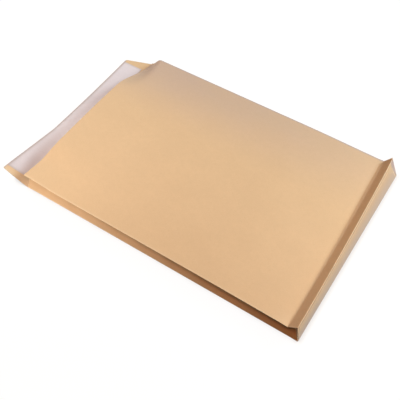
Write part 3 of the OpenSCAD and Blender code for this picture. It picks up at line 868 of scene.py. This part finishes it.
def manila_finish(c):
    """Machine-finished manila: cloudy sheet, fibres along the web, dark flecks, painted grey shade
    on its far side and edges, painted shade in the gussets and beside the glued layer, and rubbed
    folds with painted highlights."""
    f = Finish("manila_paper")
    clouds = f.noise(*CLOUDS)
    formation = f.noise(*FORMATION)
    fibres = f.noise(*FIBRES, SHARP_NOISE)
    flecks = f.noise(*FLECKS)
    colour = f.mix(f.ranged(clouds, *MIDDLE, 0, 1), shade(c.manila, 0.975), shade(c.manila, 1.02))
    colour = f.mix(f.ranged(formation, 0.35, 0.7, 0, 0.5), colour, shade(c.manila, 0.95))
    colour = f.mix(f.ranged(fibres, 0.35, 0.75, 0, 0.22), colour, c.manila_pale)
    colour = f.mix(f.ranged(flecks, 0.69, 0.8, 0, 0.5), colour, c.manila_fleck)
    # Painted grey shade on the far side, the far folds and the flap's edge
    greyed = f.times(f.attribute("painted_grey"), f.ranged(clouds, *MIDDLE, 0.85, 1.1))
    colour = f.mix(greyed, colour, c.manila_painted_grey)
    # Painted shade in the gussets, the strip, the bottom and the corner folds
    colour = f.mix(f.attribute("painted_shade"), colour, c.manila_painted_shade)
    # Rubbed folds with painted highlights
    fold_mark = f.times(f.attribute("wear_and_highlight"), f.ranged(fibres, *MIDDLE, 0.35, 0.85))
    colour = f.mix(fold_mark, colour, c.manila_pale)
    colour = f.mix(f.times(f.attribute("cut_edge"), f.ranged(fibres, 0.2, 0.8, 0.5, 0.9)), colour,
                   c.manila_core)
    f.link(colour, f.shader.inputs["Base Color"])
    f.link(f.ranged(formation, *MIDDLE, 0.62, 0.76), f.shader.inputs["Roughness"])
    f.shader.inputs["Specular IOR Level"].default_value = 0.2
    f.shader.inputs["Sheen Weight"].default_value = 0.05
    f.bump(f.sum(fibres, formation, 1.6), 0.35, 0.00006)
    return f.material


def liner_finish(c):
    """Silicone-coated release paper: smooth, faintly clouded, with a soft gloss."""
    f = Finish("release_paper")
    clouds = f.noise(*LINER_CLOUDS)
    formation = f.noise(*LINER_FORMATION)
    colour = f.mix(f.ranged(clouds, *MIDDLE, 0, 1), shade(c.liner, 0.97), shade(c.liner, 1.03))
    colour = f.mix(f.ranged(formation, 0.35, 0.7, 0, 0.35), colour, shade(c.liner, 0.93))
    # Painted grey shade along the liner's outer edge and on its cut edges
    colour = f.mix(f.attribute("painted_grey"), colour, c.liner_painted_grey)
    colour = f.mix(f.times(f.attribute("cut_edge"), f.ranged(formation, 0.2, 0.8, 0.3, 0.6)),
                   colour, c.liner_painted_grey)
    f.link(colour, f.shader.inputs["Base Color"])
    f.link(f.ranged(formation, *MIDDLE, 0.36, 0.5), f.shader.inputs["Roughness"])
    f.shader.inputs["Specular IOR Level"].default_value = 0.45
    f.bump(clouds, 0.25, 0.0002)
    return f.material


def adhesive_finish(c):
    """Self-seal adhesive: a cream film with a wet gloss and fine coating streaks."""
    f = Finish("seal_adhesive")
    streaks = f.noise(*STREAKS)
    colour = f.mix(f.ranged(streaks, *MIDDLE, 0, 1), shade(c.adhesive, 0.95), c.adhesive)
    f.link(colour, f.shader.inputs["Base Color"])
    f.link(f.ranged(streaks, *MIDDLE, 0.16, 0.3), f.shader.inputs["Roughness"])
    f.shader.inputs["Coat Weight"].default_value = 0.4
    f.bump(streaks, 0.3, 0.00005)
    return f.material


class POCKET_OT_folded_pocket(bpy.types.Operator):
    """Folds the manila sheet: panels, gussets, block bottom, its glued layer and the flap"""

    bl_idname = "pocket.folded_pocket"
    bl_label = "Folded Pocket"

    def execute(self, context):
        s = context.scene.pocket_sizes
        grid, flat, mark, panel, back = belt(s)
        patches = [(grid, flat, mark, False)]
        for side, column in ((-1, 0), (1, -1)):
            grid, flat, mark, (valley, node, foot) = gusset(
                s, side, panel[:, column], back[:, column])
            patches.append((grid, flat, mark, side > 0))
            ridge = ridge_line(s, np.array([0.0 if side < 0 else 1.0]))[0]
            for apex, first, second, n in ((valley, node, ridge, HALF_N),
                                           (foot, ridge, node, LOWER_N)):
                web = corner_web(apex, first, second, n)
                # The corner folds get painted shade
                mark = marks(0 * web[..., 0], 0, SHADE_WEB)
                patches.append((web, web[..., :2] + WEB_PLACE, mark, side > 0))
        patches.append((*lap(s), False))
        sheet("manila_sheet", "folded_pocket", patches, s.paper_t,
              manila_finish(context.scene.pocket_colours))
        return {"FINISHED"}


class POCKET_OT_adhesive_band(bpy.types.Operator):
    """Lays the band of self-seal adhesive on the flap's inner face"""

    bl_idname = "pocket.adhesive_band"
    bl_label = "Adhesive Band"

    def execute(self, context):
        s = context.scene.pocket_sizes
        near, far = liner_ends(s)
        outer = s.liner_margin + s.glue_margin
        inner = s.liner_margin + s.liner_w - s.glue_margin
        film = flap_layer(s, (near + s.glue_end, far - s.glue_end), (outer, inner),
                          s.paper_t + s.glue_t)
        sheet("adhesive_film", "adhesive_band", [(*film, True)], s.glue_t,
              adhesive_finish(context.scene.pocket_colours))
        return {"FINISHED"}


class POCKET_OT_release_liner(bpy.types.Operator):
    """Lays the release liner over the adhesive"""

    bl_idname = "pocket.release_liner"
    bl_label = "Release Liner"

    def execute(self, context):
        s = context.scene.pocket_sizes
        film = flap_layer(s, liner_ends(s), (s.liner_margin, s.liner_margin + s.liner_w),
                          s.paper_t + s.glue_t + s.liner_t)
        sheet("release_paper", "release_liner", [(*film, True)], s.liner_t,
              liner_finish(context.scene.pocket_colours))
        return {"FINISHED"}


# Lamps: name, place, what it points at, size, spread in degrees and strength in each colour
LAMPS = (
    ("key", (0.90, 0.80, 0.80), (0.10, 0.0, 0.01), 0.50, 180, (11.7, 13.7, 14.3)),
    ("right", (0.45, 0.0, 0.32), (0.10, 0.0, 0.01), 0.22, 180, (0.82, 0.83, 0.84)),
    ("mouth", (-0.45, 0.16, 0.36), (-0.15, 0.0, 0.01), 0.22, 180, (1.15, 1.15, 1.16)),
    ("near", (-0.35, -0.50, 0.24), (-0.13, -0.115, 0.01), 0.12, 50, (0.186, 0.172, 0.157)),
    ("front", (0.22, -0.30, 0.62), (0.0, 0.0, 0.01), 0.12, 180, (0.915, 0.36, 0.121)),
)


def aim(obj, target):
    """Turns a lamp so that it points at the target."""
    way = Vector(target) - obj.location
    obj.rotation_euler = way.to_track_quat("-Z", "Y").to_euler()


def floor_finish(bounce):
    """Pale floor: for camera and gloss white with a soft shadow, for the rest a matt floor."""
    material = bpy.data.materials.new("pale_floor")
    material.use_nodes = True
    tree = material.node_tree
    tree.nodes.clear()
    out = tree.nodes.new("ShaderNodeOutputMaterial")
    diffuse = tree.nodes.new("ShaderNodeBsdfDiffuse")
    diffuse.inputs["Color"].default_value = (*bounce, 1)
    beside = tree.nodes.new("ShaderNodeAmbientOcclusion")
    beside.inputs["Distance"].default_value = SHADOW_REACH
    shaded = tree.nodes.new("ShaderNodeMix")
    shaded.data_type = "RGBA"
    shaded.inputs[FIRST_COLOUR].default_value = (*SHADOW_TINT, 1)
    shaded.inputs[SECOND_COLOUR].default_value = (1, 1, 1, 1)
    glow = tree.nodes.new("ShaderNodeEmission")
    tree.links.new(beside.outputs["AO"], shaded.inputs["Factor"])
    tree.links.new(shaded.outputs[MIXED_COLOUR], glow.inputs["Color"])
    rays = tree.nodes.new("ShaderNodeLightPath")
    seen = tree.nodes.new("ShaderNodeMath")
    seen.operation = "MAXIMUM"
    level = tree.nodes.new("ShaderNodeMath")
    level.operation = "MULTIPLY"
    level.inputs[1].default_value = FLOOR_GLOW
    both = tree.nodes.new("ShaderNodeAddShader")
    tree.links.new(rays.outputs["Is Camera Ray"], seen.inputs[0])
    tree.links.new(rays.outputs["Is Glossy Ray"], seen.inputs[1])
    tree.links.new(seen.outputs[0], level.inputs[0])
    tree.links.new(level.outputs[0], glow.inputs["Strength"])
    tree.links.new(diffuse.outputs[0], both.inputs[0])
    tree.links.new(glow.outputs[0], both.inputs[1])
    tree.links.new(both.outputs[0], out.inputs["Surface"])
    return material


class POCKET_OT_stage(bpy.types.Operator):
    """Sets up the pale floor, the soft studio light and the camera"""

    bl_idname = "pocket.stage"
    bl_label = "Stage"

    def execute(self, context):
        scene = context.scene
        self.floor(scene)
        self.lamps(scene)
        self.surroundings(scene)
        self.camera(scene)
        scene.view_settings.view_transform = "Standard"
        return {"FINISHED"}

    def floor(self, scene):
        mesh = bpy.data.meshes.new("floor")
        corners = [(x * FLOOR_HALF, y * FLOOR_HALF, 0)
                   for x, y in ((-1, -1), (1, -1), (1, 1), (-1, 1))]
        mesh.from_pydata(corners, [], [(0, 1, 2, 3)])
        floor = bpy.data.objects.new("floor", mesh)
        floor.location.z = -FLOOR_DROP
        scene.collection.objects.link(floor)
        mesh.materials.append(floor_finish(scene.pocket_colours.floor))

    def lamps(self, scene):
        for name, place, target, size, spread, power in LAMPS:
            light = bpy.data.lights.new(name, "AREA")
            light.shape = "DISK"
            light.size = size
            light.spread = radians(spread)
            light.energy = max(power)
            light.color = [part / max(power) for part in power]
            lamp = bpy.data.objects.new(name, light)
            lamp.location = place
            aim(lamp, target)
            scene.collection.objects.link(lamp)

    def surroundings(self, scene):
        world = bpy.data.worlds.new("studio")
        world.use_nodes = True
        tree = world.node_tree
        tree.nodes.clear()
        out = tree.nodes.new("ShaderNodeOutputWorld")
        lit = tree.nodes.new("ShaderNodeBackground")
        lit.inputs["Color"].default_value = (1, 1, 1, 1)
        lit.inputs["Strength"].default_value = SKY
        white = tree.nodes.new("ShaderNodeBackground")
        white.inputs["Color"].default_value = (1, 1, 1, 1)
        white.inputs["Strength"].default_value = 1.0
        rays = tree.nodes.new("ShaderNodeLightPath")
        pick = tree.nodes.new("ShaderNodeMixShader")
        tree.links.new(rays.outputs["Is Camera Ray"], pick.inputs[0])
        tree.links.new(lit.outputs[0], pick.inputs[1])
        tree.links.new(white.outputs[0], pick.inputs[2])
        tree.links.new(pick.outputs[0], out.inputs["Surface"])
        scene.world = world

    def camera(self, scene):
        s = scene.pocket_sizes
        camera = bpy.data.cameras.new("camera")
        camera.lens = LENS
        camera.sensor_width = SENSOR
        camera.clip_start = NEAREST
        eye = bpy.data.objects.new("camera", camera)
        fold_x = box_high.x - s.paper_t - s.pocket_l
        eye.location = (fold_x + EYE[0], EYE[1], EYE[2])
        eye.rotation_euler = (radians(90) - EYE_ELEVATION, 0, EYE_AZIMUTH)
        scene.collection.objects.link(eye)
        scene.camera = eye


class POCKET_PT_panel(bpy.types.Panel):
    """Lists the pieces, their sizes and their colours"""

    bl_label = "Gusset Pocket"
    bl_idname = "POCKET_PT_panel"
    bl_space_type = "VIEW_3D"
    bl_region_type = "UI"
    bl_category = "Pocket"

    def draw(self, context):
        column = self.layout.column(align=True)
        for operator in OPERATORS:
            column.operator(operator.bl_idname)
        for group in (context.scene.pocket_sizes, context.scene.pocket_colours):
            for name in group.__annotations__:
                self.layout.prop(group, name)


OPERATORS = (POCKET_OT_folded_pocket, POCKET_OT_adhesive_band, POCKET_OT_release_liner,
             POCKET_OT_stage)
CLASSES = (PocketSizes, PocketColours, *OPERATORS, POCKET_PT_panel)


def register():
    for cls in CLASSES:
        bpy.utils.register_class(cls)
    bpy.types.Scene.pocket_sizes = PointerProperty(type=PocketSizes)
    bpy.types.Scene.pocket_colours = PointerProperty(type=PocketColours)


def unregister():
    del bpy.types.Scene.pocket_colours
    del bpy.types.Scene.pocket_sizes
    for cls in reversed(CLASSES):
        bpy.utils.unregister_class(cls)


def main():
    register()
    bpy.ops.pocket.stage()
    bpy.ops.pocket.folded_pocket()
    bpy.ops.pocket.adhesive_band()
    bpy.ops.pocket.release_liner()
    bpy.context.view_layer.update()


if __name__ == "__main__":
    main()
